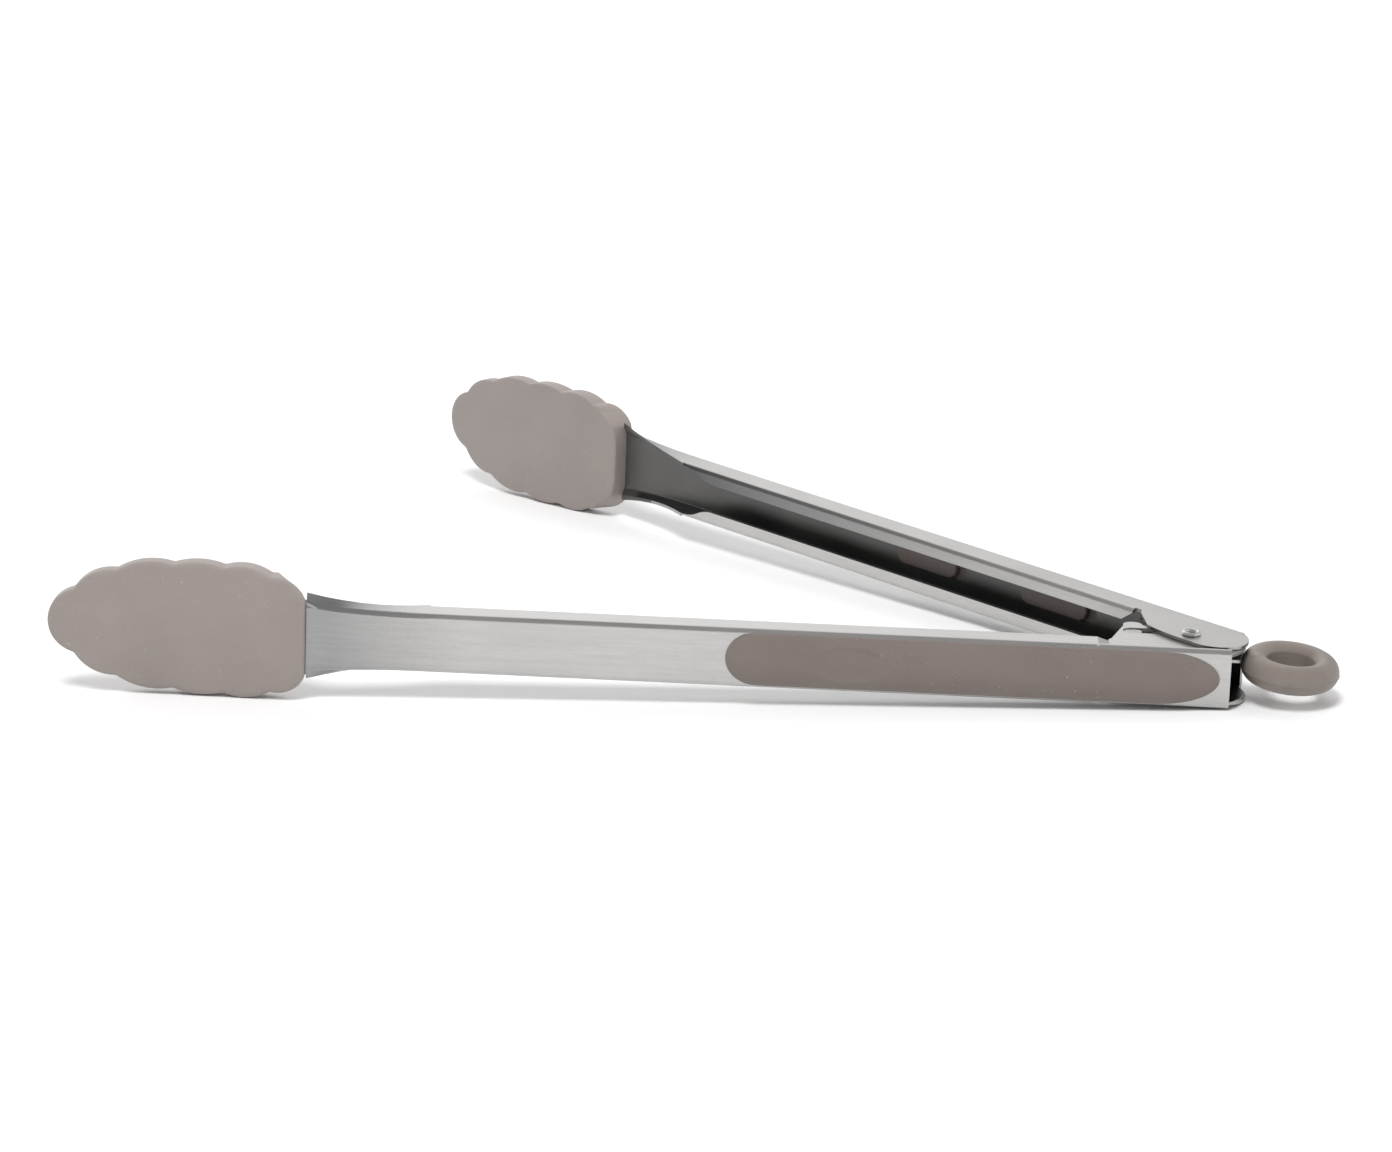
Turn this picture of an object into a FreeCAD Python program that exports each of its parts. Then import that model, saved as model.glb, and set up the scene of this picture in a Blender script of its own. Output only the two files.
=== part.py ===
"""Spring loaded kitchen tongs, lying on their side with the arms open.

Millimetres. +Z runs along the hinge rivet, and the origin is on the rivet's axis, midway between the ears.
The front arm reaches out along -X with its back towards -Y. The rear arm is its mirror image across the
XZ plane, swung open about the rivet towards +Y.

Arm coordinates: u is the distance from the rivet towards the head, v the distance from the hinge plane
out to the back of the arm. World X is -u. World Y is -v on the front arm and +v on the closed rear arm.
"""
import FreeCAD
import Part
import math
import os

V = FreeCAD.Vector

# ---------------------------------------------------------------- driving dimensions
ARM_REACH = 310.0            # rivet axis to head tip
OPEN_ANGLE = 44.5            # between the arms at rest, degrees

SHEET = 0.9                  # stainless sheet of the arms
CHANNEL_WIDTH = 16.5         # outside, along Z
BACK_DISTANCE = 13.6         # rivet axis to the back of an arm
FLANGE_DEPTH = 8.9           # back to the folded lips
LIP_HEIGHT = 4.0             # lip, measured from the outside of its flange
BEND_INSIDE = 0.4            # inside radius of the bends

FIT_GAP = 0.1                # pieces that stand still against each other
SLIDE_GAP = 0.15             # pieces that slide
PIN_CLEARANCE = 0.06         # running fit on the rivet, per side

LIP_START = 25.5             # u where the lips begin, at the hinge
LIP_MITRE = 4.0              # slant of their ends there
LIP_RUNOUT = 14.0            # length over which they narrow, towards the head
RUNOUT_LEAD = (0.28, 0.12)   # shape of that S curve: share along, share across
NECK_LENGTH = 33.0           # from the end of the lips to the silicone
NECK_WIDTH = 24.4            # width of the flared neck at the silicone
NECK_FLOOR = 17.6            # width of its flat floor there
NECK_DISH = 2.4              # depth of the dish there
FLARE_LATE = 2.2             # how late the neck widens: 1 would be evenly
FLARE_EARLY = 2.4            # how early it gets shallow
FLARE_SHARE = 0.7            # part of the depth lost early, the rest late
NECK_STATIONS = 6

WEB_END = 10.3               # front arm's back, beyond the rivet
STEP_BELOW_BACK = 1.7        # where the front arm's ears step inwards, from its back
JOGGLE_LENGTH = 3.0          # length of the front flange's slope down to its ears
SHELF_MARGIN = 0.3           # how far that step's ledge stays inside the flange
LOBE_BELOW_BACK = 0.5        # top of the lobes, inside the closed rear arm's back
LOBE_FOOT = (21.6, -1.3)     # front ear: u, and height beyond the lips' plane, where its slope begins
LOBE_SHOULDER = (17.9, -8.9)  # (u, v) of the points along it from here
LOBE_TOP_U = 15.2
LOBE_SIDE = (12.7, -9.4)
LOBE_HEEL = (10.5, -8.3)
EAR_TOP = (2.0, -7.4)
EAR_NOSE = [(-12.6, -3.2), (-14.7, 2.4), (-13.9, 7.8)]
LIP_BULGE = (1.5, 0.4)       # how the rear ear's edge curves away from the lips
REAR_NOTCH = (22.3, 4.4)     # rear ear, (u, v) where its edge leaves the lips
REAR_FOOT = (13.3, -2.9)
REAR_EDGE = [(6.0, -4.4), (-4.0, -4.7), (-12.4, -2.6), (-15.4, 3.0), (-13.1, 8.7)]
REAR_CORNER_DEPTH = 0.5      # end of the rear ear's edge, inside the back

RIVET_RADIUS = 2.0
RIVET_WALL = 0.8             # of the tubular rivet
RIVET_HEAD_LIP = 0.65        # its head, beyond the shank
RIVET_HEAD_HEIGHT = 1.0
RIVET_HEAD_SLOPE = 0.7       # how much smaller the head is at its top
BUSH_WALL = 0.8

WIRE = 1.4                   # torsion spring wire
SPRING_TURNS = 5
SPRING_AIR = 0.15            # between its turns
SPRING_PLAY = 0.26           # coil to bush
COIL_MARGIN = 0.08           # the coil's envelope beyond its wire
SPRING_LEG_REACH = 28.0      # u where a leg bears on the back of its arm

LOCK_TRAVEL = 6.0            # pull that locks the closed tongs
SLOT_OUTER = 18.2            # u of the guide slot's far end in the front ears
SLOT_HEIGHT = 4.6
SLOT_CENTRE = -4.4           # v of the slot's middle
LUG_LENGTH = 5.0
LUG_SETBACK = 0.3            # lug's face, inside the ear's outside
YOKE_SHEET = 0.85
YOKE_NOSE = 18.6             # u of the yoke's crossbar edge, unlocked
YOKE_WALL = 0.85             # beside the slot over the rivet
YOKE_SLOT_END = 0.65         # beyond that slot, to where the rails widen
YOKE_SLOPE = 2.0             # length of the rails' widening
CROSSBAR = 1.5               # length of the crossbar along u
CROSSBAR_Y = 7.0             # its lower face
NOSE_MARGIN = 0.2            # the rails' noses, beyond the lugs' slots
COIL_TO_PLATE = 0.57
TONGUE_LENGTH = 13.0
TONGUE_HALF_WIDTH = 1.9
TONGUE_Z = 1.7               # height of the tongue's middle

HOOK_CLEARANCE = 0.095       # catch hook on the rear arm to the spring's legs, each side
HOOK_BEHIND = 0.6            # stem to crossbar, locked
HOOK_FREE = 2.1              # toe to crossbar, unlocked
HOOK_GAP = 0.5               # play between hook and crossbar, locked

RING_OUTER_RADIUS = 13.4
RING_HOLE_RADIUS = 6.3
RING_SECTION_HEIGHT = 8.0
RING_LAND_DEPTH = 0.5        # cut off the ring's round section to make its straight land
RING_CENTRE = (27.0, -3.0, 0.9)
RING_ROLL = 3.0              # degrees, the ring's lean about X
RING_PITCH = 3.5             # and then about Y
RING_CLEARANCE = 0.75        # ring to the rear arm's back, open

PAD_FAR_END = 125.6          # u of the grip pad's end towards the head
PAD_SETBACK = 0.2            # its other end, from the end of the rear arm's back
PAD_MARGIN = 0.9             # arm's edge to pad, each side
PAD_EDGE = 0.9               # thickness at its long edges
PAD_CROWN = 2.6              # thickness along its middle
PAD_FAR_ROUND = 8.5          # lengths of its rounded ends
PAD_NEAR_ROUND = 17.0
DIMPLE_U = 92.0
DIMPLE_DEPTH = 0.9
DIMPLE_RADIUS = 60.0
PLUG_HALF_HEIGHT = 3.3
PLUG_PROUD = 0.8
PLUG_NOTCH = 3.4             # open end of each slot that the plug leaves
PLUG_ROOT = 0.3              # how far a plug runs into its pad
SLOTS = [(45.5, 74.3), (95.8, 123.2)]   # u of the two plug slots in each arm's back

HEAD_LENGTH = 71.0
HEAD_TIP_GAP = 3.4           # inner face of a head to the hinge plane, at the tip
HEAD_OVER = 1.9              # silicone over the arm's back, at the neck
HEAD_UNDER = 4.9             # and under it
HEAD_TIP_THICKNESS = 4.8
HEAD_BELLY = (31.0, 2.4)     # outer face: distance from the neck, and depth below the arm's back
HEAD_HOLLOW = (38.0, 4.3)    # inner face: distance from the neck, and v
SCALLOP_NOTCHES = [          # (distance from the neck, half width)
    (0.1, 10.8), (9.7, 16.2), (22.6, 17.6), (36.6, 17.4), (52.2, 14.9), (63.8, 9.0),
]
SCALLOP_PEAKS = [(3.9, 15.2), (16.5, 18.5), (29.7, 18.7), (44.2, 17.9), (59.3, 13.4)]

BLADE_HALF_WIDTH = 12.6      # steel blade inside the silicone
BLADE_SHORT = 10.0           # its tip, from the head's tip
BLADE_KNEE = (24.0, 4.3)     # where it bends: distance from the neck, and depth below the arm's back
BLADE_TIP_V = 6.2
BLADE_SINK = 0.2             # drop of its middle plane where the silicone begins
BLADE_ROOT = 3.0             # how far it runs back under the neck
BLADE_FLARE = 4.0            # length over which it widens

# ---------------------------------------------------------------- worked out
HALF = CHANNEL_WIDTH / 2
BEND_RADIUS = SHEET + BEND_INSIDE
BACK_INNER = BACK_DISTANCE - SHEET
LIP_PLANE = BACK_DISTANCE - FLANGE_DEPTH
NECK_END = ARM_REACH - HEAD_LENGTH
LIP_END = NECK_END - NECK_LENGTH
EAR_OUTER = HALF - SHEET - FIT_GAP
EAR_INNER = EAR_OUTER - SHEET
INSET_STEP = BACK_DISTANCE - STEP_BELOW_BACK
HOLE_RADIUS = RIVET_RADIUS + PIN_CLEARANCE
BUSH_RADIUS = HOLE_RADIUS + BUSH_WALL
COIL_WALL = WIRE / 2 + COIL_MARGIN
SPRING_MEAN_RADIUS = BUSH_RADIUS + SPRING_PLAY + COIL_WALL
SPRING_HALF = SPRING_TURNS * (WIRE + SPRING_AIR) / 2
SPRING_LEG_Z = SPRING_HALF - COIL_WALL
YOKE_OUTER = EAR_INNER - SLIDE_GAP
YOKE_INNER = YOKE_OUTER - YOKE_SHEET
YOKE_BACK = SPRING_MEAN_RADIUS + COIL_WALL + COIL_TO_PLATE + YOKE_SHEET
YOKE_HALF_HEIGHT = RIVET_RADIUS + SLIDE_GAP + YOKE_WALL
YOKE_STEP = LOCK_TRAVEL + RIVET_RADIUS + SLIDE_GAP + YOKE_SLOT_END
HOOK_HALF_WIDTH = SPRING_LEG_Z - WIRE / 2 - HOOK_CLEARANCE
HOOK_TOE = YOKE_NOSE - CROSSBAR - HOOK_FREE
HOOK_STEM = YOKE_NOSE - CROSSBAR - LOCK_TRAVEL - HOOK_BEHIND - SHEET
BLADE_END = ARM_REACH - BLADE_SHORT
PAD_WIDTH = CHANNEL_WIDTH - 2 * PAD_MARGIN


def rear_web_end():
    """How far the rear arm's back runs beyond the rivet: its corner, open, stays clear of the ring."""
    turn = math.radians(OPEN_ANGLE)
    ring_x, ring_y, _ = RING_CENTRE
    along = ring_x * math.cos(turn) - ring_y * math.sin(turn)
    across = ring_x * math.sin(turn) + ring_y * math.cos(turn) - BACK_DISTANCE
    return along - math.sqrt((RING_OUTER_RADIUS + RING_CLEARANCE) ** 2 - across ** 2)


REAR_WEB_END = rear_web_end()
PAD_NEAR_END = PAD_SETBACK - REAR_WEB_END


# ---------------------------------------------------------------- helpers
def face_in_plan(edges):
    """A face in the XY plane from edges that meet end to end."""
    return Part.Face(Part.Wire(edges))


def polyline(points):
    return [Part.LineSegment(a, b).toShape() for a, b in zip(points[:-1], points[1:])]


def arc(start, middle, end):
    return Part.Arc(start, middle, end).toShape()


def at(u, v, z=0.0):
    """A point of the front arm."""
    return V(-u, -v, z)


def box(x0, x1, y0, y1, z0, z1):
    return Part.makeBox(x1 - x0, y1 - y0, z1 - z0, V(x0, y0, z0))


def slab(edges, z0, z1):
    """The outline in plan, as thick as z0 to z1."""
    face = face_in_plan(edges)
    face.translate(V(0, 0, z0))
    return face.extrude(V(0, 0, z1 - z0))


def mirrored_in_z(shape):
    return shape.mirror(V(0, 0, 0), V(0, 0, 1))


def both_sides(shape):
    return [shape, mirrored_in_z(shape)]


def rear(shape):
    """The same piece on the rear arm, swung open."""
    opened = shape.mirror(V(0, 0, 0), V(0, 1, 0))
    opened.rotate(V(0, 0, 0), V(0, 0, 1), -OPEN_ANGLE)
    return opened


def fuse(shapes):
    return shapes[0].fuse(shapes[1:]).removeSplitter()


def solid_of(shape):
    """The one solid in a result."""
    assert len(shape.Solids) == 1, len(shape.Solids)
    return shape.Solids[0]


# ---------------------------------------------------------------- steel arm
def bend_arc(corner_v, corner_z, toward_v, radius):
    """A right-angle bend from the flange round to a wall across it, as (v, z) start, middle and end."""
    reach = radius * math.sqrt(0.5)
    centre_v = corner_v + toward_v * radius
    centre_z = corner_z - radius
    return (centre_v, corner_z), (centre_v - toward_v * reach, centre_z + reach), (corner_v, centre_z)


def c_section(u, with_lips):
    """Section of the channel at u: back, two flanges and, with lips, their folded edges."""
    inside = HALF - SHEET
    s1, m1, e1 = bend_arc(BACK_DISTANCE, HALF, -1, BEND_RADIUS)
    s4, m4, e4 = bend_arc(BACK_INNER, inside, -1, BEND_INSIDE)
    half = [("line", (BACK_DISTANCE, 0), e1), ("arc", e1, m1, s1)]
    if with_lips:
        tip = (LIP_PLANE, HALF - LIP_HEIGHT)
        tip_in = (LIP_PLANE + SHEET, HALF - LIP_HEIGHT)
        s2, m2, e2 = bend_arc(LIP_PLANE, HALF, 1, BEND_RADIUS)
        s3, m3, e3 = bend_arc(LIP_PLANE + SHEET, inside, 1, BEND_INSIDE)
        half += [("line", s1, s2), ("arc", s2, m2, e2), ("line", e2, tip), ("line", tip, tip_in)]
        half += [("line", tip_in, e3), ("arc", e3, m3, s3), ("line", s3, s4)]
    else:
        half += [("line", s1, (LIP_PLANE, HALF)), ("line", (LIP_PLANE, HALF), (LIP_PLANE, inside))]
        half += [("line", (LIP_PLANE, inside), s4)]
    half += [("arc", s4, m4, e4), ("line", e4, (BACK_INNER, 0))]
    return closed_section(u, half)


def closed_section(u, half):
    """Wire at u from the upper half of a section, given as lines and arcs through (v, z)."""
    upper = [(piece[0],) + tuple(at(u, v, z) for v, z in piece[1:]) for piece in half]
    lower = []
    for piece in reversed(half):
        lower.append((piece[0],) + tuple(at(u, v, -z) for v, z in reversed(piece[1:])))
    edges = []
    for piece in upper + lower:
        if piece[0] == "line":
            edges.append(Part.LineSegment(piece[1], piece[2]).toShape())
        else:
            edges.append(arc(*piece[1:]))
    return Part.Wire(edges)


def channel(u0, u1, with_lips):
    return Part.Face(c_section(u0, with_lips)).extrude(V(-(u1 - u0), 0, 0))


def lip_runout():
    """What is cut off the lips so that they narrow in an S curve to the flange at LIP_END."""
    inner = HALF - LIP_HEIGHT
    outer = HALF - SHEET
    start = LIP_END - LIP_RUNOUT
    depth = LIP_PLANE + SHEET + 1.5 * BEND_INSIDE
    along, across = RUNOUT_LEAD

    def point(u, z):
        return V(-u, 0, z)

    a = point(start, inner)
    b = point((start + LIP_END) / 2, (inner + outer) / 2)
    c = point(LIP_END, outer)
    width = outer - inner
    first = arc(a, point(start + LIP_RUNOUT * along, inner + width * across), b)
    second = arc(b, point(LIP_END - LIP_RUNOUT * along, outer - width * across), c)
    far = LIP_END + 1.0
    rest = polyline([c, point(far, outer), point(far, inner - 1.0), point(start, inner - 1.0), a])
    face = Part.Face(Part.Wire([first, second] + rest))
    return face.extrude(V(0, -depth, 0))


def lip_mitre():
    """What is cut off the start of a lip, so that it ends on a slant."""
    high = HALF - BEND_RADIUS
    low = HALF - LIP_HEIGHT
    points = [
        V(-LIP_START + 1, 0, high), V(-LIP_START, 0, high), V(-LIP_START - LIP_MITRE, 0, low),
        V(-LIP_START - LIP_MITRE, 0, low - 1), V(-LIP_START + 1, 0, low - 1),
    ]
    return Part.Face(Part.makePolygon(points + points[:1])).extrude(V(0, -(LIP_PLANE + SHEET), 0))


def neck_section(share):
    """Section of the neck: share is 0 at the channel and 1 at the head."""
    u = LIP_END + (NECK_END - LIP_END) * share
    late = share ** FLARE_LATE
    early = 1 - (1 - share) ** FLARE_EARLY
    floor = HALF + (NECK_FLOOR / 2 - HALF) * late
    rim = HALF + (NECK_WIDTH / 2 - HALF) * late
    depth = FLANGE_DEPTH + (NECK_DISH - FLANGE_DEPTH) * (FLARE_SHARE * early + (1 - FLARE_SHARE) * late)
    lean = math.atan2(rim - floor, depth)
    half_turn = (math.pi / 2 - lean) / 2
    centre_z = floor - BEND_RADIUS * math.tan(half_turn)
    centre_v = BACK_DISTANCE - BEND_RADIUS

    def bend(radius):
        """Start, middle and end of the bend at this radius."""
        return [(centre_v + radius * math.cos(turn), centre_z + radius * math.sin(turn))
                for turn in (0, half_turn, 2 * half_turn)]

    outer = bend(BEND_RADIUS)
    inner = bend(BEND_INSIDE)
    top = BACK_DISTANCE - depth
    rim_inner = inner[2][1] + (inner[2][0] - top) * math.tan(lean)
    half = [("line", (BACK_DISTANCE, 0), outer[0]), ("arc",) + tuple(outer), ("line", outer[2], (top, rim)),
            ("line", (top, rim), (top, rim_inner)), ("line", (top, rim_inner), inner[2]),
            ("arc",) + tuple(reversed(inner)), ("line", inner[0], (BACK_INNER, 0))]
    return closed_section(u, half)


def neck():
    return Part.makeLoft([neck_section(i / NECK_STATIONS) for i in range(NECK_STATIONS + 1)], True, False)


def blade_path(offset):
    """Middle plane of the blade in plan, moved outwards by offset."""
    start_v = BACK_DISTANCE - SHEET / 2
    knee_u = NECK_END + BLADE_KNEE[0]
    knee_v = BACK_DISTANCE - BLADE_KNEE[1]
    return [
        (NECK_END - BLADE_ROOT, start_v + offset), (NECK_END, start_v - BLADE_SINK + offset),
        (knee_u, knee_v + offset), (BLADE_END, BLADE_TIP_V + offset),
    ]


def blade(extra=0.0):
    """The flat blade that runs on from the neck into the silicone, grown by extra for its pocket."""
    half = SHEET / 2 + extra
    outside = [at(u, v) for u, v in blade_path(half)]
    inside = [at(u, v) for u, v in reversed(blade_path(-half))]
    if extra:
        outside[-1] = outside[-1] + V(-extra, 0, 0)
        inside[0] = inside[0] + V(-extra, 0, 0)
    ring = outside + inside
    wide = slab(polyline(ring + ring[:1]), -HALF * 2, HALF * 2)

    width = BLADE_HALF_WIDTH + extra
    root = NECK_END - BLADE_ROOT
    flare = NECK_END + BLADE_FLARE
    end = BLADE_END + extra
    straight = end - width
    base = NECK_FLOOR / 2
    lower_side = [V(-straight, 0, -width), V(-flare, 0, -width), V(-root, 0, -base)]
    upper_side = [V(-root, 0, base), V(-flare, 0, width), V(-straight, 0, width)]
    plan = polyline(lower_side + upper_side)
    plan.append(arc(upper_side[-1], V(-end, 0, 0), lower_side[0]))
    return wide.common(Part.Face(Part.Wire(plan)).extrude(V(0, -2 * BACK_DISTANCE, 0)))


def plug_slot(u0, u1, half_height, v0, v1):
    """A round-ended slot through the back, as a solid from v0 to v1."""
    r = half_height
    pieces = [box(-u1 + r, -u0 - r, -v1, -v0, -r, r)]
    for u in (u0 + r, u1 - r):
        pieces.append(Part.makeCylinder(r, v1 - v0, at(u, v1), V(0, 1, 0)))
    return fuse(pieces)


def rivet_hole():
    return Part.makeCylinder(HOLE_RADIUS, 4 * HALF, V(0, 0, -2 * HALF), V(0, 0, 1))


def arm_body():
    """What both arms share: channel, neck, blade and plug slots."""
    body = channel(LIP_START, LIP_END, True)
    for offcut in both_sides(lip_runout()) + both_sides(lip_mitre()):
        body = body.cut(offcut)
    return fuse([body, neck(), blade()])


def cut_plug_slots(arm):
    for u0, u1 in SLOTS:
        arm = arm.cut(plug_slot(u0, u1, PLUG_HALF_HEIGHT + FIT_GAP, BACK_INNER - 1, BACK_DISTANCE + 1))
    return arm


def front_ear_outline():
    """Ear with the round lobe that carries the lock's guide slot."""
    web = BACK_INNER + SHEET / 2
    start = LIP_START - JOGGLE_LENGTH
    foot = at(LOBE_FOOT[0], LIP_PLANE + LOBE_FOOT[1])
    shoulder = at(*LOBE_SHOULDER)
    lobe_top = at(LOBE_TOP_U, LOBE_BELOW_BACK - BACK_INNER)
    lobe_side = at(*LOBE_SIDE)
    ear_top = at(*EAR_TOP)
    nose_upper, nose, nose_lower = [at(*point) for point in EAR_NOSE]
    edges = polyline([at(start, web), at(start, LIP_PLANE), foot, shoulder])
    edges.append(arc(shoulder, lobe_top, lobe_side))
    edges += polyline([lobe_side, at(*LOBE_HEEL), ear_top])
    edges.append(arc(ear_top, nose_upper, nose))
    edges.append(arc(nose, nose_lower, at(-WEB_END, web)))
    edges += polyline([at(-WEB_END, web), at(start, web)])
    return edges


def joggle():
    """The flange's slope from full width down to an ear."""
    start = LIP_START - JOGGLE_LENGTH
    overlap = SHEET / 2
    top = LIP_PLANE + BEND_RADIUS
    points = [
        V(-start + overlap, 0, EAR_INNER), V(-start + overlap, 0, EAR_OUTER), V(-start, 0, EAR_OUTER),
        V(-LIP_START, 0, HALF), V(-LIP_START - overlap, 0, HALF), V(-LIP_START - overlap, 0, HALF - SHEET),
        V(-LIP_START, 0, HALF - SHEET), V(-start, 0, EAR_INNER),
    ]
    face = Part.Face(Part.makePolygon(points + points[:1]))
    face.translate(V(0, -top, 0))
    return face.extrude(V(0, top - BACK_INNER - SHEET / 2, 0))


def front_arm():
    web = BACK_INNER + SHEET / 2
    ear = slab(front_ear_outline(), EAR_INNER, EAR_OUTER)
    ear = ear.cut(slab(slot_outline(), EAR_INNER - 1, EAR_OUTER + 1))
    back = channel(-WEB_END, LIP_START, False)
    back = back.common(box(-LIP_START, WEB_END, -BACK_DISTANCE, -INSET_STEP, -HALF, HALF))
    shelf = box(-LIP_START, WEB_END, -web, -INSET_STEP, EAR_INNER, HALF - SHELF_MARGIN)
    pieces = [arm_body(), back]
    for part in (ear, joggle(), shelf):
        pieces += both_sides(part)
    return solid_of(cut_plug_slots(fuse(pieces).cut(rivet_hole())))


def slot_outline():
    """Guide slot in a front ear: round ends, long enough for the lug and its travel."""
    r = SLOT_HEIGHT / 2
    far = SLOT_OUTER - r
    near = SLOT_OUTER - LUG_LENGTH - LOCK_TRAVEL - 2 * SLIDE_GAP + r
    top = SLOT_CENTRE - r
    low = SLOT_CENTRE + r
    return [
        Part.LineSegment(at(near, low), at(far, low)).toShape(),
        arc(at(far, low), at(SLOT_OUTER, SLOT_CENTRE), at(far, top)),
        Part.LineSegment(at(far, top), at(near, top)).toShape(),
        arc(at(near, top), at(near - r, SLOT_CENTRE), at(near, low)),
    ]


def rear_ear_outline():
    """Outline of the rear arm's hinge end, ears and back together."""
    outside = BACK_DISTANCE + 1.0
    lip = LIP_PLANE + SHEET
    notch = at(*REAR_NOTCH)
    foot = at(*REAR_FOOT)
    edge_1, edge_2, nose_1, nose_2, nose_3 = [at(*point) for point in REAR_EDGE]
    corner = at(-REAR_WEB_END, BACK_INNER - REAR_CORNER_DEPTH)
    edges = polyline([at(LIP_START, outside), at(LIP_START, lip)])
    edges.append(arc(at(LIP_START, lip), at(LIP_START - LIP_BULGE[0], lip + LIP_BULGE[1]), notch))
    edges += polyline([notch, foot])
    edges.append(arc(foot, edge_1, edge_2))
    edges.append(arc(edge_2, nose_1, nose_2))
    edges.append(arc(nose_2, nose_3, corner))
    edges += polyline([corner, at(-REAR_WEB_END, outside), at(LIP_START, outside)])
    return edges


def catch_hook():
    """Hook struck from the rear arm's back, which the yoke's crossbar slides into."""
    toe_top = CROSSBAR_Y - HOOK_GAP
    toe_low = toe_top - SHEET
    half = HOOK_HALF_WIDTH
    stem = box(-HOOK_STEM - SHEET, -HOOK_STEM, toe_low, BACK_INNER + SHEET / 2, -half, half)
    toe = box(-HOOK_TOE, -HOOK_STEM, toe_low, toe_top, -half, half)
    return stem.fuse(toe).mirror(V(0, 0, 0), V(0, 1, 0))


def rear_arm():
    """Built closed on the front arm's side, then mirrored and opened by rear()."""
    beyond = 2 - min(u for u, _ in REAR_EDGE)
    upwards = 1 - min(v for _, v in REAR_EDGE)
    web_side = -BACK_DISTANCE + BEND_RADIUS
    flanges = both_sides(box(-LIP_START, beyond, web_side, upwards, HALF - SHEET, HALF))
    blank = fuse([channel(-beyond, LIP_START, False)] + flanges)
    hinge_end = blank.common(slab(rear_ear_outline(), -2 * HALF, 2 * HALF))
    arm = fuse([arm_body(), hinge_end, catch_hook()])
    return solid_of(cut_plug_slots(arm.cut(rivet_hole())))


# ---------------------------------------------------------------- grips and heads
def pad_end(u_centre, length, direction):
    """Half an ellipse across the pad, pointing towards the head for direction 1."""
    half = PAD_WIDTH / 2
    if length >= half:
        ellipse = Part.Ellipse(V(0, 0, 0), length, half)
        curve = Part.ArcOfEllipse(ellipse, -math.pi / 2, math.pi / 2).toShape()
    else:
        ellipse = Part.Ellipse(V(0, 0, 0), half, length)
        curve = Part.ArcOfEllipse(ellipse, -math.pi, 0).toShape()
        curve.rotate(V(0, 0, 0), V(0, 0, 1), 90)
    curve.rotate(V(0, 0, 0), V(1, 0, 0), 90)
    if direction > 0:
        curve.rotate(V(0, 0, 0), V(0, 0, 1), 180)
    curve.translate(V(-u_centre, 0, 0))
    return curve


def pad_outline():
    """Long pad with an elongated round end at the hinge and a rounder one towards the head."""
    half = PAD_WIDTH / 2
    far = PAD_FAR_END - PAD_FAR_ROUND
    near = PAD_NEAR_END + PAD_NEAR_ROUND
    edges = [pad_end(far, PAD_FAR_ROUND, 1), pad_end(near, PAD_NEAR_ROUND, -1)]
    for side in (1, -1):
        edges += polyline([V(-far, 0, side * half), V(-near, 0, side * half)])
    return Part.Wire(Part.__sortEdges__(edges))


def grip():
    """Soft pad on the back of an arm, with two plugs that fill its slots."""
    half = PAD_WIDTH / 2
    x = -PAD_NEAR_END + 1
    foot = -BACK_DISTANCE
    edge = foot - PAD_EDGE
    section = polyline([V(x, edge, -half), V(x, foot, -half), V(x, foot, half), V(x, edge, half)])
    section.append(arc(V(x, edge, half), V(x, foot - PAD_CROWN, 0), V(x, edge, -half)))
    crowned = Part.Face(Part.Wire(section)).extrude(V(-(PAD_FAR_END - PAD_NEAR_END + 2), 0, 0))
    pad = crowned.common(Part.Face(pad_outline()).extrude(V(0, -2 * BACK_DISTANCE, 0)))
    axis_v = BACK_DISTANCE + PAD_CROWN - DIMPLE_DEPTH + DIMPLE_RADIUS
    pad = pad.cut(Part.makeCylinder(DIMPLE_RADIUS, 4 * half, at(DIMPLE_U, axis_v, -2 * half), V(0, 0, 1)))
    inside = BACK_INNER - PLUG_PROUD
    root = BACK_DISTANCE + PLUG_ROOT
    plugs = [plug_slot(u0 + PLUG_NOTCH, u1 - FIT_GAP, PLUG_HALF_HEIGHT, inside, root) for u0, u1 in SLOTS]
    return solid_of(fuse([pad] + plugs))


def head_outline():
    """Scalloped outline of a head across its width, from the steel's end to the round tip."""

    def point(pair, side):
        return V(-NECK_END - pair[0], 0, side * pair[1])

    edges = []
    for side in (1, -1):
        for first, peak, second in zip(SCALLOP_NOTCHES[:-1], SCALLOP_PEAKS, SCALLOP_NOTCHES[1:]):
            edges.append(arc(point(first, side), point(peak, side), point(second, side)))
    tip = SCALLOP_NOTCHES[-1]
    edges.append(arc(point(tip, 1), V(-ARM_REACH, 0, 0), point(tip, -1)))
    base = SCALLOP_NOTCHES[0]
    edges += polyline([point(base, 1), point(base, -1)])
    return Part.Wire(Part.__sortEdges__(edges))


def head_side():
    """Side profile of a head: convex outside, nearly flat inside, thin towards the tip."""
    base = NECK_END + SCALLOP_NOTCHES[0][0]
    tip = ARM_REACH + 1
    outer_base = at(base, BACK_DISTANCE + HEAD_OVER)
    outer_middle = at(NECK_END + HEAD_BELLY[0], BACK_DISTANCE - HEAD_BELLY[1])
    outer_tip = at(tip, HEAD_TIP_GAP + HEAD_TIP_THICKNESS)
    inner_tip = at(tip, HEAD_TIP_GAP)
    inner_middle = at(NECK_END + HEAD_HOLLOW[0], HEAD_HOLLOW[1])
    inner_base = at(base, BACK_INNER - HEAD_UNDER)
    edges = [arc(outer_base, outer_middle, outer_tip)]
    edges += polyline([outer_tip, inner_tip])
    edges.append(arc(inner_tip, inner_middle, inner_base))
    edges += polyline([inner_base, outer_base])
    return edges


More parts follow.
